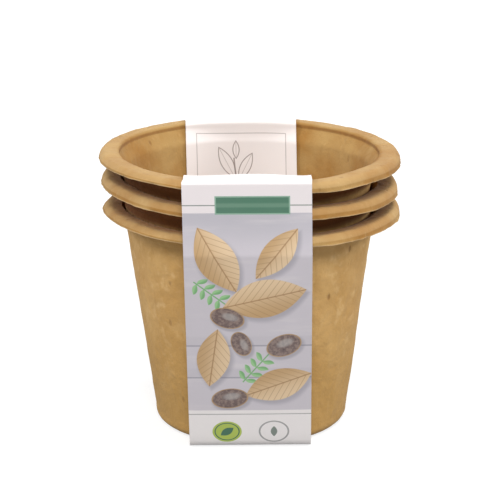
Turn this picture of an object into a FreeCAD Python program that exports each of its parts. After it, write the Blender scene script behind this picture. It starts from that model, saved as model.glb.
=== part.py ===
import FreeCAD, Part
import math
import os

# Three nested moulded-pulp plant pots, held by one card strip. Millimetres, +Z up.
# The origin is the middle of the strip's underside, where the pack stands. The front looks along -Y.

# Pot
rim_diameter = 140.0
pot_height = 105.0
rim_overhang = 10.8          # from the outside of the wall to the rim's edge, at the rim's top
wall_lean = 13.7             # how much further in the wall stands at its foot than at the rim's top
wall_thickness = 1.4
base_corner_radius = 5.0     # outside of the rounded bottom edge
collar_depth = 2.6           # upright collar just inside the rim's top
collar_edge_radius = 1.9     # where the collar turns out to the rim
collar_root_radius = 0.5     # where the flare turns up to the collar
flare_depth = 9.0            # from the rim's top down to where the wall flares out
flare_reach = 3.8            # how far out the flare runs
flare_radius = 6.0           # where the wall turns out to the flare
shoulder_radius = 3.0        # from the rim's top down to its skirt
skirt_depth = 4.8            # from the rim's top to its lower edge
skirt_flare = 0.5            # how much wider the skirt is at its lower edge

# Nest
pot_names = ["bottom_pot", "middle_pot", "top_pot"]
nest_clearance = 0.26        # between two nested walls, measured level

# Card strip
strip_width = 55.8
card_thickness = 0.35
strip_clearance = 0.3        # between the card and the rims, the bottom edges and the inner wall
strip_bend_drop = 1.5        # how far below the lowest rim the strip turns inwards
strip_bend_radius = 8.0
strip_lead = 4.0             # level run of each side piece, before it turns up
arch_rise = 1.4              # underside of the arch over the top rim
fold_radius = 1.2            # inside of the fold where a flap turns level
crease_drop = 0.5            # from the fold's start down to the crease, where a flap hinges
tuck_bend_radius = 4.0       # inside of the bend down into the top pot
tuck_length = 52.0           # from the arch down to a flap's cut end

# Derived sizes
rim_radius = rim_diameter / 2
mouth_radius = rim_radius - rim_overhang
base_radius = mouth_radius - wall_lean
wall_rise = pot_height / wall_lean
wall_slant = math.hypot(1, 1 / wall_rise)
nest_pitch = (wall_thickness * wall_slant + nest_clearance) * wall_rise
stack_top = card_thickness + (len(pot_names) - 1) * nest_pitch + pot_height
arch_height = stack_top + arch_rise
crease_height = arch_height - fold_radius - crease_drop
strip_reach = rim_radius + strip_clearance


def heading(a, b):
    # Unit direction from point a to point b
    length = math.hypot(b[0] - a[0], b[1] - a[1])
    return (b[0] - a[0]) / length, (b[1] - a[1]) / length


def turn_angle(before, after):
    # Signed turn between two directions, positive to the left
    cross = before[0] * after[1] - before[1] * after[0]
    dot = before[0] * after[0] + before[1] * after[1]
    return math.atan2(cross, dot)


def beside(corners, radii, distance):
    # The path that runs at a distance on the right of another, with its corner radii
    headings = [heading(a, b) for a, b in zip(corners, corners[1:])]
    moved = []
    for k, corner in enumerate(corners):
        before = headings[max(k - 1, 0)]
        after = headings[min(k, len(headings) - 1)]
        mitre = distance / (1 + before[0] * after[0] + before[1] * after[1])
        moved.append((corner[0] + (before[1] + after[1]) * mitre,
                      corner[1] - (before[0] + after[0]) * mitre))
    turns = [turn_angle(a, b) for a, b in zip(headings, headings[1:])]
    return moved, [r + math.copysign(distance, turn) for r, turn in zip(radii, turns)]


def rounded_path(corners, radii):
    # Straight runs joined by tangent arcs, as edges in the XZ plane
    def at(point):
        return FreeCAD.Vector(point[0], 0, point[1])

    edges = []
    start = corners[0]
    for k, radius in enumerate(radii):
        corner = corners[k + 1]
        before = heading(corners[k], corner)
        after = heading(corner, corners[k + 2])
        turn = turn_angle(before, after)
        reach = radius * math.tan(abs(turn) / 2)
        into = (corner[0] - before[0] * reach, corner[1] - before[1] * reach)
        out = (corner[0] + after[0] * reach, corner[1] + after[1] * reach)
        inward = heading(corner, ((into[0] + out[0]) / 2, (into[1] + out[1]) / 2))
        sag = radius / math.cos(turn / 2) - radius
        middle = (corner[0] + inward[0] * sag, corner[1] + inward[1] * sag)
        edges.append(Part.LineSegment(at(start), at(into)).toShape())
        edges.append(Part.Arc(at(into), at(middle), at(out)).toShape())
        start = out
    edges.append(Part.LineSegment(at(start), at(corners[-1])).toShape())
    return edges


def sheet_face(corners, radii, thickness):
    # Section of a bent sheet: the path, and the same path a thickness away on its right
    far_corners, far_radii = beside(corners, radii, thickness)
    edges = rounded_path(corners, radii) + rounded_path(far_corners, far_radii)
    for near, far in ((corners[0], far_corners[0]), (corners[-1], far_corners[-1])):
        ends = [FreeCAD.Vector(point[0], 0, point[1]) for point in (near, far)]
        edges.append(Part.LineSegment(*ends).toShape())
    return Part.Face(Part.Wire(Part.__sortEdges__(edges)))


def revolved(face):
    return face.revolve(FreeCAD.Vector(), FreeCAD.Vector(0, 0, 1), 360)


def across_strip(face):
    # Extrudes a section over the strip's width
    whole = face.extrude(FreeCAD.Vector(0, strip_width, 0))
    whole.translate(FreeCAD.Vector(0, -strip_width / 2, 0))
    return whole


def on_side(shape, angle):
    # Turns what was made towards +X to its own side of the pack
    shape.rotate(FreeCAD.Vector(), FreeCAD.Vector(0, 0, 1), angle)
    return shape


def wall_radius(height, inset):
    # Radius of the pot's wall at a height over its underside, an inset in from the outside
    return base_radius + height / wall_rise - inset * wall_slant


def make_pot(lift):
    # The inside and top of the pot is the path, and the wall stands outside it
    flare_foot = pot_height - flare_depth
    throat = wall_radius(flare_foot, wall_thickness)
    collar = throat + flare_reach
    inside = [
        (0, wall_thickness),
        (wall_radius(wall_thickness, wall_thickness), wall_thickness),
        (throat, flare_foot),
        (collar, pot_height - collar_depth),
        (collar, pot_height),
        (rim_radius - skirt_flare, pot_height),
        (rim_radius, pot_height - skirt_depth),
    ]
    radii = [
        base_corner_radius - wall_thickness,
        flare_radius,
        collar_root_radius,
        collar_edge_radius,
        shoulder_radius,
    ]
    pot = revolved(sheet_face(inside, radii, wall_thickness))
    pot.translate(FreeCAD.Vector(0, 0, lift))
    return pot


def corner_centre_radius():
    # Distance from the pot's axis to the centre of its rounded bottom edge
    slope = math.atan(wall_rise)
    return base_radius - base_corner_radius * math.tan(slope / 2)


def make_strip_base():
    # The flat stretch under the bottom pot
    reach = corner_centre_radius() - strip_lead
    base = Part.makeBox(2 * reach, strip_width, card_thickness)
    base.translate(FreeCAD.Vector(-reach, -strip_width / 2, 0))
    return on_side(base, 90)


def make_strip_side(angle):
    # Round the bottom edge, straight up to the lowest rim, then upright past the rims
    centre = corner_centre_radius()
    edge_radius = base_corner_radius + strip_clearance
    bend_height = card_thickness + pot_height - skirt_depth - strip_bend_drop
    out = strip_reach - centre
    up = bend_height - card_thickness - edge_radius
    lean = math.atan2(up, out) + math.asin(edge_radius / math.hypot(out, up))
    foot = strip_reach - (bend_height - card_thickness) / math.tan(lean)
    path = [
        (centre - strip_lead, card_thickness),
        (foot, card_thickness),
        (strip_reach, bend_height),
        (strip_reach, crease_height),
    ]
    section = sheet_face(path, [edge_radius, strip_bend_radius], card_thickness)
    return on_side(across_strip(section), angle)


def make_flap(angle):
    # Up from the crease, level over the rim, then down along the inside of the top pot.
    # The arch is straight across the strip, and the tuck is curved to the round wall.
    rim_middle = (mouth_radius + rim_radius) / 2
    inset = wall_thickness + strip_clearance
    arch_over_foot = arch_height - stack_top + pot_height
    arch_path = [
        (strip_reach, crease_height),
        (strip_reach, arch_height),
        (rim_middle - strip_width / 2, arch_height),
    ]
    arch = across_strip(sheet_face(arch_path, [fold_radius], card_thickness))
    arch = arch.cut(Part.makeCylinder(rim_middle, 2 * arch_height))
    tuck_path = [
        (rim_middle, arch_height),
        (wall_radius(arch_over_foot, inset), arch_height),
        (wall_radius(arch_over_foot - tuck_length, inset), arch_height - tuck_length),
    ]
    tuck = revolved(sheet_face(tuck_path, [tuck_bend_radius], card_thickness))
    slab = Part.makeBox(rim_radius, strip_width, 2 * arch_height)
    slab.translate(FreeCAD.Vector(0, -strip_width / 2, 0))
    return on_side(arch.fuse(tuck.common(slab)).removeSplitter(), angle)


def save(name, shape):
    if shape.ShapeType == "Compound" and len(shape.Solids) == 1:
        shape = shape.Solids[0]
    print(name, shape.ShapeType, shape.isValid(), "solids", len(shape.Solids), "volume", round(shape.Volume, 1))
    shape.exportStep("parts/" + name + ".step")


os.makedirs("parts", exist_ok=True)
print("nest pitch", round(nest_pitch, 3), "stack top", round(stack_top, 3))
for level, pot_name in enumerate(pot_names):
    save(pot_name, make_pot(card_thickness + level * nest_pitch))
save("band_base", make_strip_base())
for side, angle in (("front", -90), ("back", 90)):
    save("band_" + side, make_strip_side(angle))
    save(side + "_flap", make_flap(angle))
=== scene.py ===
# A nest of three moulded pulp plant pots, held together by one printed card strip
import bpy
import numpy as np
from math import atan2, cos, pi, radians, sin, tan
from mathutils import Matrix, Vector


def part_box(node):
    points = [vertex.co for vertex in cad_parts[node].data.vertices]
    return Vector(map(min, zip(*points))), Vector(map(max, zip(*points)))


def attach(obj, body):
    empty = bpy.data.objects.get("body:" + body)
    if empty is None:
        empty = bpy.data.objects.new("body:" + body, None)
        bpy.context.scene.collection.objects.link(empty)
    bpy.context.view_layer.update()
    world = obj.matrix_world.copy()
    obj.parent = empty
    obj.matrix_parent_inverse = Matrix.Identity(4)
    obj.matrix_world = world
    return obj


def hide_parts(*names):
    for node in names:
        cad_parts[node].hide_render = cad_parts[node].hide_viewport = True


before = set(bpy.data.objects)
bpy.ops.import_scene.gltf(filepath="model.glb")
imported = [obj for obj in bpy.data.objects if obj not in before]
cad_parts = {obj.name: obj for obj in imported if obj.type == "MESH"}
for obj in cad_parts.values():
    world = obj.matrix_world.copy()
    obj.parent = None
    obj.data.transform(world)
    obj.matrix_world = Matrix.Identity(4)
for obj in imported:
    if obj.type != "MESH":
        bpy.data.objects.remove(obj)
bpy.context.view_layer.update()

mm = 0.001  # every shape below is worked out in millimetres


# Sizes read from the frame

def nodeBox(name):
    low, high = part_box(name)
    return np.array(low) / mm, np.array(high) / mm


lowestPot, highestPot = nodeBox("bottom_pot"), nodeBox("top_pot")
nest = dict(
    lift=lowestPot[0][2],  # the lowest pot stands on the card
    pitch=nodeBox("middle_pot")[0][2] - lowestPot[0][2],  # from one nested pot to the next
    rimRadius=lowestPot[1][0],
    height=lowestPot[1][2] - lowestPot[0][2],
    top=highestPot[1][2],
)
print("frame: pots", np.round([nest["height"], nest["rimRadius"], nest["pitch"]], 2), "top", round(nest["top"], 2))


# Shapes as paths and grids

def unit(vectors):
    return vectors / np.linalg.norm(vectors, axis=-1, keepdims=True)


def roundedPath(corners, radii, steps):
    # Straight runs joined by tangent arcs. corners is (corner, column, 2), so each column may have its own path.
    # A run is start + t * (end - start). An arc is centre + radius * (sin * forwards - cos * the way to the centre),
    # at angles that turn evenly. steps holds how many spans each run and arc gets: run, arc, run, arc, ... run
    corners = np.asarray(corners, float)
    if corners.ndim == 2:
        corners = corners[:, None, :]
    ways = unit(np.diff(corners, axis=0))
    pieces, start = [], corners[0]
    for k, radius in enumerate(radii):
        before, after = ways[k], ways[k + 1]
        turn = np.arctan2(before[:, 0] * after[:, 1] - before[:, 1] * after[:, 0], (before * after).sum(-1))
        reach = (radius * np.tan(abs(turn) / 2))[:, None]
        into = corners[k + 1] - before * reach
        t = np.linspace(0, 1, steps[2 * k] + 1)[:-1, None, None]
        pieces.append(start + (into - start) * t)
        leftwards = np.stack([-before[:, 1], before[:, 0]], -1) * np.sign(turn)[:, None]
        centre = into + leftwards * radius
        angle = (np.linspace(0, 1, steps[2 * k + 1] + 1)[:-1, None] * abs(turn))[..., None]
        pieces.append(centre + radius * (before * np.sin(angle) - leftwards * np.cos(angle)))
        start = corners[k + 1] + after * reach
    t = np.linspace(0, 1, steps[-1] + 1)[:, None, None]
    pieces.append(start + (corners[-1] - start) * t)
    return np.concatenate(pieces)


waveSpread = (0.7, 1.4)  # of the waves' sizes round the one asked for
waveGain = 8 / 7  # brings their sum to about -1 to 1


def waves(points, seed, size, count=28):
    # Random field with bumps of a size: a sum of sine waves that run in random directions, over their count's root
    rng = np.random.default_rng(seed)
    direction = unit(rng.normal(size=(count, 3)))
    direction *= (rng.uniform(*waveSpread, count) * pi / size)[:, None]
    phase = rng.uniform(0, 2 * pi, count)
    total = sum(np.sin(points @ way + start) for way, start in zip(direction, phase))
    return total * waveGain / np.sqrt(count)


def wavesOf(points, seed, layers):
    # Waves of several heights and sizes added up, each with a seed of its own
    return sum(height * waves(points, seed + k, size) for k, (height, size) in enumerate(layers))


def smooth(x, low, high):
    # 0 at low, 1 at high and beyond, and an S curve between them. Low may be the larger one.
    t = np.clip((x - low) / (high - low), 0, 1)
    return t * t * (3 - 2 * t)


def past(x, start, span):
    # The same curve, with its low and high measured from a start
    return smooth(x, start + span[0], start + span[1])


def gridFaces(rows, columns, closed):
    # Quads between neighbouring rows and columns of a grid, with the last column joined to the first if closed
    across = np.arange(columns if closed else columns - 1)
    r = np.arange(rows - 1)[:, None]
    a = r * columns + across
    b = r * columns + (across + 1) % columns
    return np.stack([a, b, b + columns, a + columns], -1).reshape(-1, 4)


def makeMesh(name, points, quads, triangles=None, uv=None, floats=None, slots=None, flat=0):
    # Mesh from arrays: points in mm, quads and triangles as rows of indices, uv and floats per point.
    # The last few faces may be flat quads with sharp edges.
    mesh = bpy.data.meshes.new(name)
    faces = quads.tolist() + ([] if triangles is None else triangles.tolist())
    mesh.from_pydata((points * mm).tolist(), [], faces)
    for label, values in (floats or {}).items():
        mesh.attributes.new(label, "FLOAT", "POINT").data.foreach_set("value", np.asarray(values, np.float32))
    if uv is not None:
        corner = np.empty(len(mesh.loops), np.int32)
        mesh.loops.foreach_get("vertex_index", corner)
        mesh.uv_layers.new(name="strip").data.foreach_set("uv", uv[corner].astype(np.float32).ravel())
    mesh.polygons.foreach_set("use_smooth", np.arange(len(mesh.polygons)) < len(mesh.polygons) - flat)
    if flat:
        edge = np.empty(len(mesh.loops), np.int32)
        mesh.loops.foreach_get("edge_index", edge)
        mesh.edges.foreach_set("use_edge_sharp", np.isin(np.arange(len(mesh.edges)), edge[-4 * flat:]))
    if slots is not None:
        mesh.polygons.foreach_set("material_index", np.asarray(slots, np.int32))
    mesh.update()
    mesh.validate()
    piece = bpy.data.objects.new(name, mesh)
    bpy.context.scene.collection.objects.link(piece)
    return piece


# Shader maths

class Socket:
    # A number in a material: sums and products of it add their Math nodes
    def __init__(self, make, link):
        self.make, self.link = make, link

    def math(self, operation, *others):
        values = [o.link if isinstance(o, Socket) else o for o in others]
        return self.make.node("Math", [self.link, *values], operation=operation)[0]

    def __add__(self, other):
        return self.math("ADD", other)

    __radd__ = __add__

    def __mul__(self, other):
        return self.math("MULTIPLY", other)

    __rmul__ = __mul__

    def __sub__(self, other):
        return self.math("SUBTRACT", other)

    def __rsub__(self, other):
        return self * -1 + other

    def __truediv__(self, other):
        return self.math("DIVIDE", other)

    def __abs__(self):
        return self.math("ABSOLUTE")

    def floor(self):
        return self.math("FLOOR")

    def sin(self):
        return self.math("SINE")

    def root(self):
        return self.math("SQRT")

    def least(self, other):
        return self.math("MINIMUM", other)

    def most(self, other):
        return self.math("MAXIMUM", other)

    def over(self, low, high):
        # 0 below low and 1 above high, with a smooth step between, or the other way round
        low, high, start, end = (low, high, 0.0, 1.0) if low < high else (high, low, 1.0, 0.0)
        sockets = {"Value": self, "From Min": low, "From Max": high, "To Min": start, "To Max": end}
        return self.make.node("MapRange", sockets, interpolation_type="SMOOTHSTEP")[0]


class Finish:
    # A material or the world in the making
    def __init__(self, owner, shader="Principled BSDF"):
        owner.use_nodes = True
        self.owner, self.tree = owner, owner.node_tree
        self.shader = self.tree.nodes[shader]

    def node(self, kind, inputs=(), **settings):
        # One node: its type, the values or links of its sockets by name or by place, and its settings
        made = self.tree.nodes.new("ShaderNode" + kind)
        for key, value in settings.items():
            setattr(made, key, value)
        for key, value in inputs.items() if isinstance(inputs, dict) else enumerate(inputs):
            self.feed(made.inputs[key], value)
        return [Socket(self, out) for out in made.outputs]

    def feed(self, socket, value):
        link = value.link if isinstance(value, Socket) else value
        if isinstance(link, bpy.types.NodeSocket):
            self.tree.links.new(link, socket)
        else:
            socket.default_value = link

    def surface(self, inputs):
        # Values or links for the shader's own sockets
        for name, value in inputs.items():
            self.feed(self.shader.inputs[name], value)

    def mix(self, amount, first, second):
        # Colour between first and second
        return self.node("Mix", {0: amount, 6: first, 7: second}, data_type="RGBA")[2]

    def tint(self, base, mask, fade, tone):
        # A tone over the base where the mask passes fade's first two numbers, by the share in its third
        return self.mix(mask.over(*fade[:2]) * fade[2], base, tone)

    def noise(self, where, scale, detail, roughness, distortion=0.0):
        sockets = {"Vector": where, "Scale": scale, "Detail": detail, "Roughness": roughness,
                   "Distortion": distortion}
        return self.node("TexNoise", sockets)[0]

    def mapped(self, where, scale=(1, 1, 1), turn=(0, 0, 0), move=(0, 0, 0)):
        return self.node("Mapping", {"Vector": where, "Scale": scale, "Rotation": turn, "Location": move})[0]

    def attribute(self, name):
        return self.node("Attribute", attribute_name=name)[2]

    def bump(self, height, depth, strength, under=None):
        # Depth in metres. Another bump's normal may lie under this one.
        below = {"Normal": under} if under else {}
        return self.node("Bump", {"Height": height, "Distance": depth, "Strength": strength, **below})[0]

    def seen(self):
        # 1 where the camera, a mirror or glass looks, and 0 for the light that falls on the object
        rays = {ray.link.name: ray for ray in self.node("LightPath")}
        return rays["Is Camera Ray"].most(rays["Is Glossy Ray"]).most(rays["Is Transmission Ray"])


def finishOf(name):
    return Finish(bpy.data.materials.new(name))


def colour(*levels):
    # The linear values of an sRGB colour given as red, green and blue in 0..255
    shares = [level / 255 for level in levels]
    return tuple(c / 12.92 if c <= 0.04045 else ((c + 0.055) / 1.055) ** 2.4 for c in shares) + (1.0,)


def colours(**tones):
    return {name: colour(*levels) for name, levels in tones.items()}


# Camera

view = dict(
    distance=850.0,  # from the aim point, mm
    elevation=16.88,  # degrees down onto the pots
    turn=-1.3,  # degrees round to the left of the strip's front
    pixels=500, focal=1793.3,  # along a side of the picture, and the focal length in them
    sensor=36.0,
    aim=(0.0, 0.0, 70.0),
    aimPixel=(250.9, 273.4),
    clip=(0.05, 50.0),  # m
)


def makeCamera():
    # Stands at the distance from the aim point, looks straight at it, and shifts the frame to the aim pixel
    high, side = radians(view["elevation"]), radians(view["turn"])
    away = Vector((sin(side) * cos(high), -cos(side) * cos(high), sin(high)))
    camera = bpy.data.objects.new("camera", bpy.data.cameras.new("camera"))
    camera.data.lens = view["focal"] / view["pixels"] * view["sensor"]
    camera.data.sensor_width = view["sensor"]
    middle = view["pixels"] / 2
    camera.data.shift_x = (middle - view["aimPixel"][0]) / view["pixels"]
    camera.data.shift_y = (view["aimPixel"][1] - middle) / view["pixels"]
    camera.data.clip_start, camera.data.clip_end = view["clip"]
    camera.location = (Vector(view["aim"]) + away * view["distance"]) * mm
    camera.rotation_euler = (-away).to_track_quat("-Z", "Y").to_euler()
    bpy.context.scene.collection.objects.link(camera)
    bpy.context.scene.camera = camera
    print("camera: lens", round(camera.data.lens, 1))


makeCamera()


# Pots

pot = dict(
    wall=1.4, lean=13.7, overhang=10.8,  # as the solids have them
    floorCorner=3.6, flareDepth=9.0, flareReach=3.8, flareRadius=6.0,
    collarDepth=2.6, collarRoot=0.5, collarEdge=1.3,
    shoulder=3.0, skirt=4.8, skirtFlare=0.5,
    around=384,  # columns
    steps=[10, 8, 60, 5, 6, 4, 2, 6, 6, 10, 5],  # spans of each run and arc from the axis to the skirt
    lipSteps=5,
    crown=0.2, crownDepth=0.5,  # how much the rim's top is arched, and how deep its top reaches
    crownStart=(0.4, 3.0), crownEnd=(-3.5, -0.4),  # past the collar and past the rim's edge
    stepDrop=(10.8, 10.0),  # where a faint step lies on the wall, below the rim's top
    shear=-0.012,  # the nest leans this much sideways per mm up
)
# A rim is warped from a height past its top and a radius past its collar. Its skirt is trimmed from a drop below
# its top and a radius past its edge. The strip holds it round the front and back, past a share of the radius.
warp = dict(
    height=(-12.0, -4.0), reach=(-1.5, 1.0),
    skirtDrop=(1.4, 4.0), skirtReach=(-5.0, -3.0),
    held=(0.88, 0.93),
    rise=[(0.2, 24)], spread=[(0.2, 22)],  # waves on top of the harmonics
)
# Roughness in mm of a pot's inside and rim, and waves that share it. The outside has its own, above the foot.
skin = dict(inner=0.07, rim=0.1, foot=(1.5, 6.0), waves=[(0.55, 21), (0.35, 7), (0.22, 2.6)])
# Burr left by the mould: how far it stands out, and where it lies along the skirt's edge
burr = dict(size=0.35, mean=0.6, waves=[(0.5, 9), (0.35, 3)], above=0.25, width=0.42, within=3.0)
seedStep = dict(burr=3, rise=6, spread=8)  # from a pot's seed, which the skin takes
# What the material marks: painted shade in the groove under the collar's edge, a painted highlight on the rim's edge
# by the collar, and painted shade in the gaps of the nest
marks = dict(
    grooveStart=(0.5, 1.3), grooveEnd=(2.0, 2.75), grooveNear=0.7,
    collarHighlight=0.28, collarHighlightStart=(0.0, 2.0), collarHighlightDepth=2.5,
    gapShadeDrop=(15.0, 12.5), gapShadeEdge=(-0.6, -2.2),
    rimShadeStart=(0.0, 0.6), rimShadeEnd=(7.5, 3.5),
)
# A rim's rise is a mean in mm, then mm times cos and sin of the angle, and of twice the angle. So are its spread
# outwards, and its trim, by which its skirt is shorter. Dark and ring are painted shade on the wall under the rim
# and on the rim's top inside the next pot. Slim is how much further in the outside is.
pots = dict(
    bottom_pot=dict(seed=11, skin=0.2, step=0.25, dark=0.0, ring=0.7, slim=0.35,
                    rise=(0.0, -0.1, 0.0, 0.1, 0.2), spread=(-0.55, 1.55, 0.0, -0.5, 0.0),
                    trim=(0.8, -1.1, -0.5, 0.0, 0.0)),
    middle_pot=dict(seed=23, skin=0.07, step=0.0, dark=1.0, ring=0.7, slim=0.0,
                    rise=(0.0, -1.3, 0.35, -0.2, -0.1), spread=(-0.6, 0.84, 0.1, -0.6, -0.5),
                    trim=(0.35, -0.6, -0.3, 0.0, 0.0)),
    top_pot=dict(seed=37, skin=0.07, step=0.0, dark=1.0, ring=0.0, slim=0.0,
                 rise=(-0.53, 0.0, 0.58, -0.05, 0.0), spread=(0.0, 0.84, -0.15, -0.2, -0.6),
                 trim=(0.53, -0.59, -0.58, -0.15, 0.4)),
)


def innerRadius(z):
    # Inside of the pot's wall at a height over its underside
    rim, high = nest["rimRadius"], nest["height"]
    foot = rim - pot["overhang"] - pot["lean"]
    return foot + z * pot["lean"] / high - pot["wall"] * np.hypot(1, pot["lean"] / high)


def collarRadius():
    return innerRadius(nest["height"] - pot["flareDepth"]) + pot["flareReach"]


def potSection():
    # (radius, height) pairs from the axis along the floor, up the wall, out along the flare, up the collar and over
    # the rim, and the same path a wall's thickness further out, square to the first
    rim, high, wall = nest["rimRadius"], nest["height"], pot["wall"]
    foot, collar = high - pot["flareDepth"], collarRadius()
    corners = [(0.0, wall), (innerRadius(wall), wall), (collar - pot["flareReach"], foot),
               (collar, high - pot["collarDepth"]), (collar, high), (rim - pot["skirtFlare"], high),
               (rim, high - pot["skirt"] + wall / 2)]
    radii = [pot["floorCorner"], pot["flareRadius"], pot["collarRoot"], pot["collarEdge"], pot["shoulder"]]
    path = roundedPath(corners, radii, pot["steps"])[:, 0]
    along = unit(np.gradient(path, axis=0))
    along[0] = (1, 0)
    right = np.stack([along[:, 1], -along[:, 0]], -1)
    return path, path + right * wall


def markedSection(own):
    # The whole section, closed round the skirt's edge by a half circle, with a crown on the rim's top and a step in
    # the wall. Gives its pairs and their marks: outside is 0 inside and on top and 1 outside and below, and the
    # others are shares of a colour: painted shade in the groove and the nest's gaps, and a pale edge with painted
    # highlight.
    upper, lower = potSection()
    high, rim, collar = nest["height"], nest["rimRadius"], collarRadius()
    onTop = past(upper[:, 0], collar, pot["crownStart"]) * (1 - past(upper[:, 0], rim, pot["crownEnd"]))
    upper[:, 1] += pot["crown"] * onTop * (upper[:, 1] > high - pot["crownDepth"])
    lower[:, 0] += own["step"] * smooth(high - lower[:, 1], *pot["stepDrop"]) * (lower[:, 0] < collar)

    angle = np.linspace(0, pi, pot["lipSteps"] + 2)[1:-1, None]
    middle, arm = (upper[-1] + lower[-1]) / 2, (upper[-1] - lower[-1]) / 2
    forward = np.array([arm[1], -arm[0]])
    lip = middle + arm * np.cos(angle) + forward * np.sin(angle)
    lower = lower[::-1]

    def joined(*shares):
        # A share, or a row of them, for the upper side, the lip and the lower side
        return np.concatenate([share + 0 * part[:, 0] for share, part in zip(shares, (upper, lip, lower))])

    radius, drop = upper[:, 0], high - upper[:, 1]
    # Painted shade in the groove under the collar's edge
    groove = smooth(drop, *marks["grooveStart"]) * (1 - smooth(drop, *marks["grooveEnd"]))
    groove *= abs(radius - collar) < marks["grooveNear"]
    # Painted highlight on the collar's rounded edge; the lip takes the pale edge in full, the burr's paler pulp with
    # a painted highlight
    collarHighlight = past(radius, collar, marks["collarHighlightStart"]) * (drop < marks["collarHighlightDepth"]) * marks["collarHighlight"]
    # Painted shade on the rim's top inside the next pot, and on the wall in the gap under the rim
    ring = past(radius, collar, marks["rimShadeStart"]) * past(radius, collar, marks["rimShadeEnd"])
    dark = smooth(high - lower[:, 1], *marks["gapShadeDrop"]) * past(lower[:, 0], rim, marks["gapShadeEdge"])
    return np.concatenate([upper, lip, lower]), dict(
        outside=joined(0, 0.5, 1), grooveShade=joined(groove, 0, 0), edge=joined(collarHighlight, 1, 0),
        shade=joined(ring * own["ring"], 0, dark * own["dark"]))


def harmonics(shares, theta):
    mean, once, onceSide, twice, twiceSide = shares
    return (mean + once * np.cos(theta) + onceSide * np.sin(theta)
            + twice * np.cos(2 * theta) + twiceSide * np.sin(2 * theta))


def hoopOf(theta):
    # Points round the rim, where the waves along it are taken
    return np.stack([np.cos(theta), np.sin(theta), 0 * theta], -1) * nest["rimRadius"]


def rimRise(name, theta):
    # How much a pot's rim stands above its even height at an angle
    own = pots[name]
    seed = own["seed"] + seedStep["rise"]
    return harmonics(own["rise"], theta) + wavesOf(hoopOf(theta), seed, warp["rise"])


def spun(pairs, spokes):
    # (radius, height) pairs turned round the axis: (radius * cos, radius * sin, height)
    return np.stack([np.outer(pairs[:, 0], spokes[:, 0]), np.outer(pairs[:, 0], spokes[:, 1]),
                     np.repeat(pairs[:, 1:], len(spokes), 1)], -1)


def burrOf(body, onUpper, theta, seed):
    # How far the burr stands out over the grid: a bell curve over the height, times waves round the rim
    edge = nest["height"] - pot["skirt"] + burr["above"]
    bell = np.exp(-((body[:, 1] - edge) / burr["width"]) ** 2) * onUpper
    size = burr["size"] * (burr["mean"] + wavesOf(hoopOf(theta), seed, burr["waves"]))
    return np.outer(bell * (body[:, 0] > nest["rimRadius"] - burr["within"]), np.clip(size, 0, None))


def potShell(name, lift):
    # The section is spun over an even grid of angles. The grid is moved along its normals by smooth random waves,
    # spread outwards with the rim's burr, warped up and down by low harmonics of the angle, and sheared.
    own = pots[name]
    seed, high, rim, collar = own["seed"], nest["height"], nest["rimRadius"], collarRadius()
    section, shares = markedSection(own)
    body, side = section[1:-1], shares["outside"][1:-1]
    theta = np.arange(pot["around"]) * 2 * pi / pot["around"]
    spokes = np.stack([np.cos(theta), np.sin(theta)], -1)
    tangent = unit(np.gradient(body, axis=0))
    shape, normal = spun(body, spokes), spun(np.stack([-tangent[:, 1], tangent[:, 0]], -1), spokes)

    onRim = (past(body[:, 1], high, warp["height"]) * past(body[:, 0], collar, warp["reach"]))[:, None]
    outer = (side * smooth(body[:, 1], *skin["foot"]))[:, None] * (1 - onRim)
    rough = np.where(outer > 0.5, own["skin"], skin["inner"]) + skin["rim"] * onRim
    shape += normal * (wavesOf(shape, seed, skin["waves"]) * rough)[..., None]

    spread = harmonics(own["spread"], theta) + wavesOf(hoopOf(theta), seed + seedStep["spread"], warp["spread"])
    free = 1 - smooth(abs(spokes[:, 1]), *warp["held"])
    push = burrOf(body, side < 1, theta, seed + seedStep["burr"]) * free
    push += onRim * np.where(spread > 0, spread * free, spread) - outer * own["slim"]
    trimmed = smooth(high - body[:, 1], *warp["skirtDrop"]) * past(body[:, 0], rim, warp["skirtReach"])
    shape[..., :2] += push[..., None] * spokes
    shape[..., 2] += onRim * rimRise(name, theta) + np.outer(trimmed, harmonics(own["trim"], theta)) + lift
    shape[..., 0] += pot["shear"] * shape[..., 2] + outer * own["slim"]
    poles = [[pot["shear"] * (lift + section[k, 1]), 0, lift + section[k, 1]] for k in (0, -1)]
    return closedShell(name.split("_")[0] + "PulpPot", shape, np.array(poles), shares)


def closedShell(name, shape, poles, shares):
    # Quads between the rows, and a fan of triangles from the first and the last row to each pole
    rows, columns = shape.shape[:2]
    quads = gridFaces(rows, columns, True)[:, ::-1]
    first = np.arange(columns)
    following = (first + 1) % columns
    last, pole = (rows - 1) * columns, np.full(columns, rows * columns)
    fans = np.concatenate([np.stack([pole, first, following], -1),
                           np.stack([pole + 1, last + following, last + first], -1)])
    floats = {mark: np.concatenate([np.repeat(share[1:-1], columns), share[[0, -1]]])
              for mark, share in shares.items()}
    piece = makeMesh(name, np.concatenate([shape.reshape(-1, 3), poles]), quads, fans, floats=floats)
    print(piece.name, "triangles", 2 * len(quads) + len(fans))
    return piece


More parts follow.
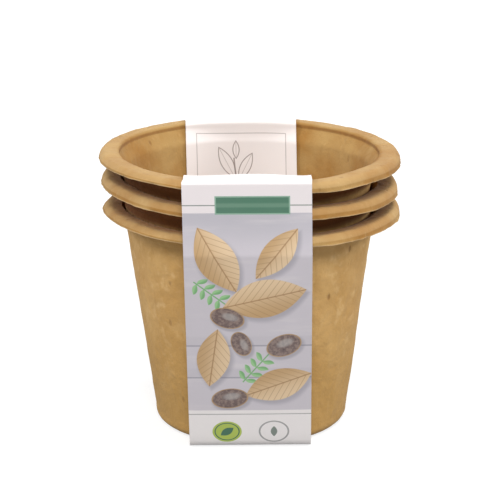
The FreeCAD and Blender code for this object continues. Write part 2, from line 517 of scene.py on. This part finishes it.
# Colours of the pulp, then its layers. A noise is its scale, detail, roughness and perhaps distortion. A span is
# where it fades in, and a fade's third number is the share of its colour that shows.
pulpLook = dict(
    **colours(
        outside=(210, 171, 111), deep=(194, 152, 91), pale=(229, 196, 144),
        # inside tones: darker copies of the pulp's colour, painted shade inside the pot, which the rim's top takes
        # too
        inside=(176, 142, 88), insideLow=(156, 112, 54),
        # edge: the burr's paler pulp with painted highlight; groove and shade: painted shade; foot: painted shade
        # low on the outside
        speck=(120, 80, 40), fibre=(232, 200, 146), edge=(228, 198, 152), groove=(140, 94, 42),
        shade=(120, 74, 36), foot=(181, 142, 81)),
    clouds=(38, 4, 0.55), cloudSpan=(0.35, 0.68), innerSpan=(0.3, 0.7),
    patches=(150, 3, 0.6), patchFade=(0.52, 0.74, 0.45),
    streaks=(260, 2, 0.5), streakStretch=(1, 1, 0.12), streakFade=(0.5, 0.72, 0.02),
    # painted shade: the outside darkens towards the ground
    lowShadeFade=(0.075, 0.012, 0.85),  # metres up from the ground
    sideSpan=(0.25, 0.5),
    fibres=[(0.3, 420, 0.0), (1.9, 480, 0.41), (-0.8, 450, 0.83)],  # turn, scale, move
    fibreDetail=(1, 0.4), fibreStretch=(1, 1, 0.16), fibreTurn=(1.0, 0.7, 1.3), fibreFade=(0.7, 0.8, 0.07),
    specks=210.0, speckStretch=(1, 1, 0.55), speckSize=(0.27, 0.1), speckPick=(0.8, 0.9), speckShare=0.5,
    flecks=(330, 1, 0.4), fleckLay=[(1, 1, 0.3), (0.9, 0.2, 2.0), (0.2, 0.6, 0)],  # stretch, turn, move
    fleckFade=(0.66, 0.76, 0.1),
    edgeClouds=0.6, edgeEven=0.5, edgeShare=0.7, grooveShadeShare=0.6,
    grain=(900, 3, 0.65), grainBump=(0.00022, 0.8),  # a bump is its depth in metres and its strength
    lumps=(230, 2, 0.5), lumpBump=(0.0006, 0.7), lumpFibres=0.15, lumpSpecks=0.5,
    dents=(85, 2, 0.45, 0.6), dentStretch=(1, 1, 0.6), dentBump=(0.0022, 0.6),
    roughness=0.8, grainRoughness=0.16, specular=0.15, sheen=0.06, sheenRoughness=0.6,
    move=(0.37, 0.11, 0.0),  # of the noises, per seed
)


def pulpFinish(name, seed):
    # Matt moulded pulp: cloudy tan, faint upright streaks, short dark and pale fibres, and a felted grain
    # The inner tones, the groove, the gaps of the nest and the low outside carry painted shade, and the rim's edges
    # painted highlight
    make, look = finishOf(name), pulpLook
    where = make.node("TexCoord")[3]
    shifted = make.mapped(where, move=tuple(seed * share for share in look["move"]))
    clouds = make.noise(shifted, *look["clouds"])
    patches = make.noise(shifted, *look["patches"])
    streaks = make.noise(make.mapped(shifted, scale=look["streakStretch"]), *look["streaks"])
    base = make.mix(clouds.over(*look["cloudSpan"]), look["deep"], look["outside"])
    base = make.tint(base, patches, look["patchFade"], look["pale"])
    base = make.tint(base, streaks, look["streakFade"], look["deep"])
    # Painted shade: the outside grows darker towards the ground
    base = make.tint(base, make.node("SeparateXYZ", [where])[2], look["lowShadeFade"], look["foot"])
    # The inside and the rim's top take the darker inner tones: painted shade inside the pot
    inner = make.mix(clouds.over(*look["innerSpan"]), look["insideLow"], look["inside"])
    base = make.mix(make.attribute("outside").over(*look["sideSpan"]), inner, base)

    fibres = None
    for turn, scale, move in look["fibres"]:
        turns = tuple(turn * share for share in look["fibreTurn"])
        lay = make.mapped(shifted, scale=look["fibreStretch"], turn=turns, move=(move, 0, 0))
        found = make.noise(lay, scale, *look["fibreDetail"])
        fibres = found if fibres is None else fibres.most(found)
    spread = make.mapped(shifted, scale=look["speckStretch"])
    cells = make.node("TexVoronoi", {"Vector": spread, "Scale": look["specks"]})
    picked = make.node("SeparateXYZ", [cells[1]])[0].over(*look["speckPick"])
    specks = cells[0].over(*look["speckSize"]) * picked
    base = make.mix(specks * look["speckShare"], base, look["speck"])
    base = make.tint(base, fibres, look["fibreFade"], look["fibre"])
    flecks = make.noise(make.mapped(shifted, *look["fleckLay"]), *look["flecks"])
    base = make.tint(base, flecks, look["fleckFade"], look["speck"])
    # Pale edges: the burr's paler pulp with painted highlight, and painted highlight on the collar's edge
    edge = make.attribute("edge") * (clouds * look["edgeClouds"] + look["edgeEven"])
    base = make.mix(edge.least(1.0) * look["edgeShare"], base, look["edge"])
    # Painted shade in the groove under the collar's edge
    base = make.mix(make.attribute("grooveShade") * look["grooveShadeShare"], base, look["groove"])
    # Painted shade in the gaps of the nest and on the rims' tops inside the next pot
    base = make.mix(make.attribute("shade"), base, look["shade"])

    grain = make.noise(shifted, *look["grain"])
    lumps = make.noise(shifted, *look["lumps"]) + fibres * look["lumpFibres"] - specks * look["lumpSpecks"]
    dents = make.noise(make.mapped(shifted, scale=look["dentStretch"]), *look["dents"])
    felt = make.bump(grain, *look["grainBump"])
    felt = make.bump(lumps, *look["lumpBump"], felt)
    felt = make.bump(dents, *look["dentBump"], felt)
    make.surface({"Base Color": base, "Normal": felt, "Specular IOR Level": look["specular"],
                  "Roughness": grain * look["grainRoughness"] + look["roughness"],
                  "Sheen Weight": look["sheen"], "Sheen Roughness": look["sheenRoughness"]})
    return make.owner


def makePots():
    for level, (name, own) in enumerate(pots.items()):
        piece = potShell(name, nest["lift"] + level * nest["pitch"])
        piece.data.materials.append(pulpFinish(name.split("_")[0] + "Pulp", own["seed"]))
        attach(piece, name)
        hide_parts(name)


makePots()


# Card strip

strip = dict(
    width=55.8, card=0.35,
    reach=nest["rimRadius"] + 0.3,  # inner face of the upright sides
    edgeRadius=5.3, bendRadius=8.0,  # inner radii at the pot's foot and under the lowest rim
    bendDrop=1.5, flatWithin=0.01,
    bow=0.35, bowStart=(4, 25), bowEnd=(84, 99),  # how far the leaning sides bulge, and at what heights
    bandSteps=[12, 8, 30, 12, 24, 12, 30, 8, 12],  # spans of each run and arc from crease to crease
    foldRise=1.0,  # from the crease up to the underside of the arch, where it folds
    overRim=0.45,  # how far the inner corners of the arch stand over the rim
    frontCrest=1.5, backCrest=1.3,  # how much higher the arch stands in the middle
    foldRadius=0.8,
    innerFold=55.6, innerBow=2.2,  # where the arch turns down, from the pots' axis, and less at its corners
    tuckRadius=2.2, tuckLean=0.02,
    flapSteps=[2, 7, 16, 9, 60],
    tuckNarrow=0.025, narrowSpan=(6, 15),  # a tuck curved to the wall is that much narrower
    frontSkew=0.07, backSkew=-0.03, skewReach=12,  # how much a flap runs off to the right, for each mm inwards
    clear=0.35,  # kept from the pots
    flareSlope=0.45,  # how much wider the pot is for each mm up its flare
    wallSoft=1.2, wallSpan=(-1.2, 0.6), wallInside=8.0,  # how softly and from where a tuck gives way to the wall
    lowShift=-1.24, shiftPerMm=-0.0165,  # the strip sits off the middle, more so higher up
    columns=56,
    tuckRoom=90.0,  # room for each tuck in the UV, so that it stays between 0 and 1
)
creaseHeight = nodeBox("band_front")[1][2]
print("crease", round(creaseHeight, 2))


def acrossStrip():
    # Places of the columns across the strip, and 1 less the square of their share of its half width
    u = np.linspace(-strip["width"] / 2, strip["width"] / 2, strip["columns"] + 1)
    return u, 1 - (u / u[-1]) ** 2


def sheetBetween(name, face, uv, flip):
    # A closed card: the inner face, a copy moved by the card along its normals, and the cut edges between them
    rows, columns = face.shape[:2]
    down, side = np.gradient(face, axis=0), np.gradient(face, axis=1)
    outer = face + unit(np.cross(down, side)) * strip["card"] * (-1 if flip else 1)
    points = np.concatenate([face.reshape(-1, 3), outer.reshape(-1, 3)])
    count = rows * columns
    quads = gridFaces(rows, columns, False)
    index = np.arange(count).reshape(rows, columns)
    rimLoop = np.concatenate([index[0, :-1], index[:-1, -1], index[-1, :0:-1], index[:0:-1, 0]])
    following = np.roll(rimLoop, -1)
    edges = np.stack([rimLoop, following, following + count, rimLoop + count], -1)
    shown, inner = quads + count, quads[:, ::-1]
    if not flip:
        shown, inner, edges = shown[:, ::-1], inner[:, ::-1], edges[:, ::-1]
    slots = np.concatenate([np.zeros(len(shown)), np.ones(len(inner) + len(edges))])
    faces = np.concatenate([shown, inner, edges])
    piece = makeMesh(name, points, faces, uv=np.tile(uv.reshape(-1, 2), (2, 1)), slots=slots, flat=len(edges))
    for finish in stripFinishes:
        piece.data.materials.append(finish)
    return piece


def bandRun():
    # Inner face of the part that stays, as (depth, height) pairs from crease to crease: down the front, round the
    # foot, under the base and up the back
    card, reach = strip["card"], strip["reach"]
    under = potSection()[1]
    flatReach = under[under[:, 1] < strip["flatWithin"]][:, 0].max()
    bend = card + nest["height"] - pot["skirt"] - strip["bendDrop"]
    out, up = reach - flatReach, bend - card - strip["edgeRadius"]
    lean = atan2(up, out) + np.arcsin(strip["edgeRadius"] / np.hypot(out, up))
    foot = reach - (bend - card) / tan(lean)
    corners = [(-reach, creaseHeight), (-reach, bend), (-foot, card), (foot, card), (reach, bend),
               (reach, creaseHeight)]
    radii = [strip["bendRadius"], strip["edgeRadius"], strip["edgeRadius"], strip["bendRadius"]]
    return roundedPath(corners, radii, strip["bandSteps"])[:, 0]


def runLength(path):
    # Length along a path, or along each column of a grid, from its first row
    step = np.linalg.norm(np.diff(path, axis=0), axis=-1)
    return np.concatenate([0 * step[:1], np.cumsum(step, axis=0)])


bandPath = bandRun()
bandLength = runLength(bandPath)[-1]
unrolled = bandLength + 2 * strip["tuckRoom"]


def stripUv(sideways, along):
    # Across the strip 0..1 from left to right seen from the front, and along it 0..1 from tuck to tuck
    u, v = np.broadcast_arrays(sideways / strip["width"] + 0.5, (along + strip["tuckRoom"]) / unrolled)
    return np.stack([u, v], -1)


def offMiddle(points):
    # The strip sits a little to the left on the pots, more so higher up
    points[..., 0] += strip["lowShift"] + strip["shiftPerMm"] * points[..., 2]
    return points


def makeBand():
    # Every column has the same path, moved across the strip. Its leaning sides bulge by a parabola.
    u, bow = acrossStrip()
    face = np.empty((len(bandPath), len(u), 3))
    face[..., 0] = u
    face[..., 1:] = bandPath[:, None]
    leaning = smooth(face[..., 2], *strip["bowStart"]) * (1 - smooth(face[..., 2], *strip["bowEnd"]))
    face[..., 1] += np.sign(face[..., 1]) * leaning * bow * strip["bow"]
    uv = stripUv(u, runLength(bandPath)[:, None])
    piece = sheetBetween("cardBand", offMiddle(face), uv, False)
    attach(piece, "band")
    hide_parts("band_base", "band_front", "band_back")


def roomInside(x, height):
    # How far from the strip's middle plane a tuck can reach inside the top pot: the side of a right triangle whose
    # long side is the pot's inner radius, less the clearance and the card
    fromPot = x + strip["lowShift"] + (strip["shiftPerMm"] - pot["shear"]) * height
    depth = nest["top"] - height
    flare = np.clip(pot["flareDepth"] - depth, 0, None) * strip["flareSlope"]
    wall = innerRadius(nest["height"] - np.clip(depth, pot["collarDepth"], None)) + flare
    limit = np.minimum(wall, collarRadius()) - strip["clear"] - strip["card"]
    return np.sqrt(np.clip(limit ** 2 - fromPot ** 2, 0, None)), depth


def flapFace(side, crest, skew):
    # One path for each column, from the crease over the rim and down into the top pot. The arch drops and draws in
    # towards both corners by a parabola. The tuck takes the soft minimum of its path and the room up to the wall:
    # -soft * log(exp(-path / soft) + exp(-room / soft)).
    u, bow = acrossStrip()
    below = rimRise("top_pot", np.arctan2(side * strip["reach"], u + strip["lowShift"]))
    high = nest["top"] + below + strip["overRim"] + crest * bow
    inner = strip["innerFold"] - strip["innerBow"] * (1 - bow)
    low = nodeBox("front_flap")[0][2]
    corners = [(strip["reach"], creaseHeight), (strip["reach"], creaseHeight + strip["foldRise"]), (inner, high),
               (inner - (high - low) * strip["tuckLean"], low)]
    columns = [np.stack(np.broadcast_arrays(*corner, u)[:2], -1) for corner in corners]
    path = roundedPath(columns, [strip["foldRadius"], strip["tuckRadius"]], strip["flapSteps"])
    inwards = strip["reach"] - path[..., 0]
    x = u * (1 - strip["tuckNarrow"] * smooth(inwards, *strip["narrowSpan"]))
    x += skew * np.clip(inwards, 0, strip["skewReach"])
    room, depth = roomInside(x, path[..., 1])
    gate = smooth(depth, *strip["wallSpan"]) * (inwards > strip["wallInside"])
    soft = strip["wallSoft"]
    nearer = -soft * np.logaddexp(-path[..., 0] / soft, -room / soft)
    path[..., 0] += gate * (np.minimum(nearer, room) - path[..., 0])
    return u, np.stack([x, side * path[..., 0], path[..., 1]], -1)


def makeFlap(name, side, crest, skew):
    # side is -1 for the front and 1 for the back
    u, face = flapFace(side, crest, skew)
    along = runLength(face[..., 1:])
    along = -along if side < 0 else bandLength + along
    piece = sheetBetween(name + "Tuck", offMiddle(face), stripUv(u, along), side < 0)
    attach(piece, name + "_flap")
    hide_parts(name + "_flap")


# Print on the strip. Places are (across, along) in mm: across from the strip's middle, along from the front crease
# down. The picture shows leaves, seeds and sprigs on pale boards.

ink = colours(
    # front is a darker copy of the card's white for the front face: painted shade below the lit top of the fold
    white=(240, 234, 233), front=(235, 228, 230), pale=(218, 217, 216),
    # footLow: painted shade where the strip turns under the base
    paleLow=(205, 205, 206), foot=(246, 242, 242), footLow=(238, 234, 233),
    board=(209, 204, 212), boardTop=(176, 175, 184), seam=(150, 148, 160),
    line=(120, 132, 124), bar=(62, 112, 88), barEdge=(136, 172, 152), barGlow=(112, 150, 128),
    leaf=(196, 160, 112), leafPale=(232, 204, 166), vein=(160, 120, 76),
    seed=(104, 84, 80), seedPale=(140, 120, 112), seedSpot=(70, 54, 52),
    sprig=(150, 203, 140), sprigDark=(112, 176, 108), shadow=(120, 118, 132),
    sketch=(128, 112, 108), frame=(176, 168, 168),
    badge=(176, 196, 84), badgeDark=(52, 104, 78), ring=(160, 160, 160),
)


def motifs(rows):
    # Each row is a motif's place across and along, its turn in degrees, and its half length, then its half width
    return [dict(place=row[:2], turn=row[2], size=row[3:]) for row in rows]


picture = dict(
    top=12.2, bottom=112.6, footEnd=140.0,
    # Painted shade: the front takes its darker white from over the fold, fading in softly below the lit top of the
    # fold, down to the turn under the base
    foldShadeSpan=(-2.6, 1.2), turnSpan=(140.5, 139.5),  # where the front's white begins and ends
    edge=0.1,  # softness of a printed edge
    leaves=motifs([
        (12.5, 31.0, 128.0, 15.0, 6.4), (-13.5, 34.0, 62.0, 17.5, 8.6), (7.0, 53.0, -14.0, 19.0, 9.6),
        (-16.0, 84.0, 98.0, 15.5, 7.4), (13.0, 98.5, 158.0, 16.0, 8.2)]),
    seeds=motifs([
        (-9.5, 63.0, 18.0, 7.8, 5.2), (15.5, 77.5, -24.0, 8.2, 5.6), (-3.5, 76.5, 70.0, 6.6, 4.4),
        (-9.0, 106.0, -8.0, 8.4, 5.4)]),
    sprigs=motifs([(-17.0, 50.0, 40.0, 9.0), (2.5, 90.0, -52.0, 9.0)]),
)


def turned(across, along, own):
    # Coordinates in a motif: first along its length, then across it
    x, y = across - own["place"][0], along - own["place"][1]
    c, d = cos(radians(own["turn"])), sin(radians(own["turn"]))
    return x * c + y * d, y * c - x * d


def between(value, low, high, soft=picture["edge"]):
    return value.over(low - soft, low + soft) * value.over(high + soft, high - soft)


def lens(a, b, size):
    # Above zero inside a leaf's outline, in mm: halfWidth * (1 - (a / halfLength)^2) - |b|
    share = a / size[0]
    return (1 - share * share) * size[1] - abs(b)


def oval(a, b, size):
    # Above zero inside an oval: 1 - (a / first)^2 - (b / second)^2
    first, second = a / size[0], b / size[1]
    return 1 - first * first - second * second


leafLook = dict(
    shadow=(1.0, 1.6), shadowFade=(-2.2, 1.2, 0.45),
    side=(-0.9, 0.9), veinStep=3.6, veinSlope=1.1, veinFade=(0.8, 0.99, 0.45), ribFade=(0.42, 0.14, 0.8),
    edge=(-0.15, 0.15),
)


def drawLeaf(make, base, across, along, own):
    # A leaf over its soft shadow: paler on one side, with slanted veins from a sine and a rib
    look = leafLook
    a, b = turned(across - look["shadow"][0], along - look["shadow"][1], own)
    base = make.tint(base, lens(a, b, own["size"]), look["shadowFade"], ink["shadow"])
    a, b = turned(across, along, own)
    veins = ((a - abs(b) * look["veinSlope"]) * (2 * pi / look["veinStep"])).sin()
    tone = make.mix((b / own["size"][1]).over(*look["side"]), ink["leafPale"], ink["leaf"])
    tone = make.tint(tone, veins, look["veinFade"], ink["vein"])
    tone = make.tint(tone, abs(b), look["ribFade"], ink["vein"])
    return make.mix(lens(a, b, own["size"]).over(*look["edge"]), base, tone)


seedLook = dict(
    shadow=(0.8, 1.2), shadowFade=(-0.45, 0.2, 0.45),
    paleSpan=(0.42, 0.62), spotSpan=(0.36, 0.26),
    shine=(1.0, -1.0), shineSize=(0.6, 0.45), shineFade=(0, 0.9, 0.35),
    borderFade=(0.22, 0.05, 0.7), edge=(-0.03, 0.03),
)


def drawSeed(make, base, across, along, own, grain):
    # A dark speckled oval over its soft shadow, with a pale shine and a tan border
    look, size = seedLook, own["size"]
    a, b = turned(across - look["shadow"][0], along - look["shadow"][1], own)
    base = make.tint(base, oval(a, b, size), look["shadowFade"], ink["shadow"])
    a, b = turned(across, along, own)
    tone = make.mix(grain.over(*look["paleSpan"]), ink["seed"], ink["seedPale"])
    tone = make.mix(grain.over(*look["spotSpan"]), tone, ink["seedSpot"])
    shineSize = (size[0] * look["shineSize"][0], size[1] * look["shineSize"][1])
    shine = oval(a - look["shine"][0], b - look["shine"][1], shineSize)
    tone = make.tint(tone, shine, look["shineFade"], ink["pale"])
    inside = oval(a, b, size)
    tone = make.tint(tone, inside, look["borderFade"], ink["leaf"])
    return make.mix(inside.over(*look["edge"]), base, tone)


sprigLook = dict(
    step=4.2, slant=0.45, back=1.0, fromStem=2.6, size=(2.5, 1.35), edge=(-0.12, 0.12), share=0.95,
    clear=1.5,  # bare stem before the first pair
    stem=(0.42, 0.22), tip=2.0, stemShare=0.9, side=(-0.6, 0.6),
)


def drawSprig(make, base, across, along, own):
    # A stem with pairs of leaflets: the same pair comes again each step along it
    look, step, half = sprigLook, sprigLook["step"], own["size"][0]
    a, b = turned(across, along, own)
    middle = ((a / step).floor() + 0.5) * step
    inPair = a - middle - abs(b) * look["slant"] + look["back"]
    leaflet = lens(abs(b) - look["fromStem"], inPair, look["size"]).over(*look["edge"])
    leaflet = leaflet * between(middle, look["clear"] - half, half)
    stem = abs(b).over(*look["stem"]) * between(a, -half, half + look["tip"])
    green = make.mix(inPair.over(*look["side"]), ink["sprig"], ink["sprigDark"])
    base = make.mix(leaflet * look["share"], base, green)
    return make.mix(stem * look["stemShare"], base, ink["sprigDark"])


barLook = dict(
    place=(2.3, 8.8), half=(15.6, 3.5), border=0.55, borderEdge=(0.1, 0.0), edge=(0.05, -0.05),
    glowFade=(1.4, 0.4, 0.5), rule=(0.32, 0.12),
)


def drawBar(make, base, across, along):
    # Thin rule with a plain bar over it
    look = barLook
    x, y = abs(across - look["place"][0]), abs(along - look["place"][1])

    def inBar(border, edge):
        wide, tall = ([half + border + e for e in edge] for half in look["half"])
        return x.over(*wide) * y.over(*tall)

    base = make.mix(y.over(*look["rule"]), base, ink["line"])
    base = make.mix(inBar(look["border"], look["borderEdge"]), base, ink["barEdge"])
    glow = make.tint(ink["bar"], y, look["glowFade"], ink["barGlow"])
    return make.mix(inBar(0.0, look["edge"]), base, glow)


footLook = dict(
    # footShadeSpan: painted shade grows over it, down to the turn under the base
    footShadeSpan=(122, 140), line=114.8, lineEdge=(0.3, 0.12), tall=1.35,  # how much flatter than wide the badges are
    badge=(-10.6, 124.6), badgeRadius=6.7, badgeRing=0.82, badgeRingEdge=(0.35, 0.2), badgeTurn=-35.0,
    badgeLeaf=(3.6, 1.9),
    ring=(10.9, 124.6), ringRadius=6.6, ringEdge=(0.5, 0.3), ringTurn=90.0, ringLeaf=(2.9, 1.5),
)


def drawFoot(make, base, across, along):
    # Pale zone under the picture, darker towards the turn under the base with painted shade: a fine line, a disc
    # with a leaf, and a ring with a leaf
    look, edge = footLook, picture["edge"]

    def distance(place):
        # From the middle of a badge, in which one mm up counts as the root of tall
        x, y = across - place[0], along - place[1]
        return (x * x + y * y * look["tall"]).root()

    def leaf(base, place, turn, size, tone):
        a, b = turned(across, along, dict(place=place, turn=turn))
        return make.mix(lens(a, b, size).over(-edge, edge), base, tone)

    # Painted shade: the foot darkens towards the turn under the base
    low = make.mix(along.over(*look["footShadeSpan"]), ink["foot"], ink["footLow"])
    base = make.mix(between(along, picture["bottom"], picture["footEnd"]), base, low)
    base = make.mix(abs(along - look["line"]).over(*look["lineEdge"]), base, ink["ring"])
    away, radius = distance(look["badge"]), look["badgeRadius"]
    base = make.mix(away.over(radius + edge, radius - edge), base, ink["badge"])
    inner = abs(away - radius * look["badgeRing"]).over(*look["badgeRingEdge"])
    base = make.mix(inner, base, ink["badgeDark"])
    base = leaf(base, look["badge"], look["badgeTurn"], look["badgeLeaf"], ink["badgeDark"])
    ring = abs(distance(look["ring"]) - look["ringRadius"]).over(*look["ringEdge"])
    base = make.mix(ring, base, ink["ring"])
    return leaf(base, look["ring"], look["ringTurn"], look["ringLeaf"], ink["line"])


sketchLook = dict(
    frameTop=21.3, frameBottom=63.0, frameHalf=22.6, frameBow=1.1, frameFade=(0.26, 0.14, 0.9),
    place=(-3.0, 42.0),
    leaves=motifs([(-7.5, 36.0, 62.0, 8.5, 3.0), (2.0, 38.0, 118.0, 7.5, 2.6), (-2.7, 29.5, 90.0, 4.4, 1.6)]),
    lineFade=(0.34, 0.16, 0.8), inside=(0.2, 0.4), rib=(0.22, 0.08), ribShare=0.5,
    stem=(0.5, 0.25), stemBend=0.8, stemWave=0.16, stemRun=(33.5, 60.5), stemShare=0.8,
)


def drawTuck(make, base, across, back):
    # Back tuck: a thin frame, curved at its top by a parabola, with a plain line drawing of a seedling
    look, half = sketchLook, sketchLook["frameHalf"]
    share = across / half
    fromTop = look["frameTop"] - back + share * share * look["frameBow"]
    outline = abs(across).most(fromTop + half).most(back - look["frameBottom"] + half) - half
    base = make.tint(base, abs(outline), look["frameFade"], ink["frame"])
    for own in look["leaves"]:
        a, b = turned(across, back, own)
        shape = lens(a, b, own["size"])
        base = make.tint(base, abs(shape), look["lineFade"], ink["sketch"])
        rib = shape.over(*look["inside"]) * abs(b).over(*look["rib"])
        base = make.mix(rib * look["ribShare"], base, ink["sketch"])
    x, y = look["place"]
    bend = ((back - y) * look["stemWave"]).sin() * look["stemBend"]
    stem = abs(across - x - bend).over(*look["stem"]) * between(back, *look["stemRun"])
    return make.mix(stem * look["stemShare"], base, ink["sketch"])


boardLook = dict(
    shadeEnd=34.0, shadeSoft=0.8, shadeEven=0.3,  # darker from the picture's top down to there
    grain=(160, 3, 0.6), grainStretch=(0.15, 1, 1.2), grainFade=(0.5, 0.8, 0.3),
    seams=[77.5, 94.6], seamFade=(0.55, 0.15, 0.8),
    shadow=5.0, shadowSoft=0.6, shadowShare=0.12,
)


def drawBoards(make, along, where, soft):
    # Pale boards: a soft shade under the top, a faint grain, and seams with a shadow above each
    look = boardLook
    shade = along.over(look["shadeEnd"], picture["top"]) * (soft * look["shadeSoft"] + look["shadeEven"])
    art = make.mix(shade.least(1.0), ink["board"], ink["boardTop"])
    grain = make.noise(make.mapped(where, scale=look["grainStretch"]), *look["grain"])
    art = make.tint(art, grain, look["grainFade"], ink["white"])
    for seam in look["seams"]:
        art = make.tint(art, abs(along - seam), look["seamFade"], ink["seam"])
        above = between(along, seam - look["shadow"], seam, look["shadowSoft"])
        art = make.mix(above * look["shadowShare"], art, ink["seam"])
    return art


cardLook = dict(
    soft=(30, 2, 0.5), speckle=(650, 3, 0.6), unevenness=0.1, evenShare=0.05,
    roughness=0.36, speckleRoughness=0.12, specular=0.4, waves=4, bump=(0.00004, 0.6),
    boardFine=(1500, 2, 0.6), boardDark=colour(214, 208, 202), boardPale=colour(232, 228, 224),
    boardRoughness=0.7, boardFineRoughness=0.1,
)


def printedCard():
    # Coated card: everything is drawn from the strip's own across and along
    make, look = finishOf("printedCard"), cardLook
    where = make.node("TexCoord")[3]
    place = make.node("SeparateXYZ", [make.node("UVMap", uv_map="strip")[0]])
    across = (place[0] - 0.5) * strip["width"]
    along = place[1] * unrolled - strip["tuckRoom"]
    soft = make.noise(where, *look["soft"])
    speckle = make.noise(where, *look["speckle"])

    art = drawBoards(make, along, where, soft)
    for own in picture["sprigs"]:
        art = drawSprig(make, art, across, along, own)
    for own in picture["leaves"]:
        art = drawLeaf(make, art, across, along, own)
    for own in picture["seeds"]:
        art = drawSeed(make, art, across, along, own, speckle)
    # Painted shade: the front face is darker than the card elsewhere, fading in across the fold
    frontShade = along.over(*picture["foldShadeSpan"]) * along.over(*picture["turnSpan"])
    base = make.mix(frontShade, ink["white"], ink["front"])
    base = make.mix(between(along, picture["top"], picture["bottom"]), base, art)
    base = drawFoot(make, base, across, along)
    base = drawBar(make, base, across, along)
    base = drawTuck(make, base, across, along - bandLength)
    base = make.mix((soft - 0.5) * look["unevenness"] + look["evenShare"], base, ink["paleLow"])
    make.surface({"Base Color": base, "Roughness": speckle * look["speckleRoughness"] + look["roughness"],
                  "Normal": make.bump(speckle + soft * look["waves"], *look["bump"]),
                  "Specular IOR Level": look["specular"]})
    return make.owner


def bareBoard():
    # Uncoated inner face and cut edges
    make, look = finishOf("bareBoard"), cardLook
    fine = make.noise(make.node("TexCoord")[3], *look["boardFine"])
    make.surface({"Base Color": make.mix(fine, look["boardDark"], look["boardPale"]),
                  "Roughness": fine * look["boardFineRoughness"] + look["boardRoughness"]})
    return make.owner


stripFinishes = [printedCard(), bareBoard()]
makeBand()
makeFlap("front", -1, strip["frontCrest"], strip["frontSkew"])
makeFlap("back", 1, strip["backCrest"], strip["backSkew"])
print("strip: band length", round(bandLength, 1))


# Floor, light and background

studio = dict(
    floorSize=6.0, floorTone=0.3, floorRoughness=0.9,
    floorGlow=0.76, glowSpan=(0.25, 1.0),  # grey near the pots, and white from a metre away
    worldTone=(0.99, 0.99, 1.0, 1.0), worldStrength=0.43,
    lamps=[
        dict(name="keyLight", place=(0.4, -0.6, 1.7), size=0.4, watts=9.0, tone=(1.0, 0.98, 0.96)),
        dict(name="frontLight", place=(0.0, -1.6, 1.25), size=0.5, watts=19.5, tone=(1.0, 0.98, 0.96)),
        dict(name="rightLight", place=(1.4, 0.2, 0.8), size=0.4, watts=11.0, tone=(1.0, 0.99, 0.97)),
        dict(name="leftLight", place=(-1.35, -0.1, 1.0), size=0.4, watts=11.0, tone=(1.0, 0.99, 0.97)),
    ],
)


def makeFloor():
    # Takes the pots' shadow, and glows for the camera, a mirror or glass only
    half = studio["floorSize"] / 2
    mesh = bpy.data.meshes.new("floor")
    mesh.from_pydata([(-half, -half, 0), (half, -half, 0), (half, half, 0), (-half, half, 0)], [], [(0, 1, 2, 3)])
    floor = bpy.data.objects.new("floor", mesh)
    bpy.context.scene.collection.objects.link(floor)
    make = finishOf("floorPaper")
    make.surface({"Base Color": (studio["floorTone"],) * 3 + (1,), "Roughness": studio["floorRoughness"],
                  "Specular IOR Level": 0.0})
    away = make.node("VectorMath", [make.node("TexCoord")[3]], operation="LENGTH")[1]
    white = make.mix(away.over(*studio["glowSpan"]), (studio["floorGlow"],) * 3 + (1,), (1, 1, 1, 1))
    glow = make.node("Emission", {"Color": white, "Strength": make.seen()})[0]
    both = make.node("AddShader", [make.shader.outputs[0], glow])[0]
    make.feed(make.tree.nodes["Material Output"].inputs["Surface"], both)
    mesh.materials.append(make.owner)


def makeWorld():
    # White where the camera, a mirror or glass looks at it, and a soft grey light elsewhere
    world = bpy.data.worlds.new("studio")
    bpy.context.scene.world = world
    make = Finish(world, "Background")
    make.surface({"Color": studio["worldTone"], "Strength": studio["worldStrength"]})
    white = make.node("Background", {"Color": (1, 1, 1, 1)})[0]
    mixed = make.node("MixShader", [make.seen(), make.shader.outputs[0], white])[0]
    make.feed(make.tree.nodes["World Output"].inputs["Surface"], mixed)


def makeLamps():
    aim = Vector((0, 0, nest["top"] / 2)) * mm
    for lamp in studio["lamps"]:
        light = bpy.data.lights.new(lamp["name"], "AREA")
        light.shape, light.size = "SQUARE", lamp["size"]
        light.energy, light.color = lamp["watts"], lamp["tone"]
        holder = bpy.data.objects.new(lamp["name"], light)
        holder.location = lamp["place"]
        holder.rotation_euler = (Vector(lamp["place"]) - aim).to_track_quat("Z", "Y").to_euler()
        bpy.context.scene.collection.objects.link(holder)


makeFloor()
makeWorld()
makeLamps()
bpy.context.scene.view_settings.view_transform = "Standard"
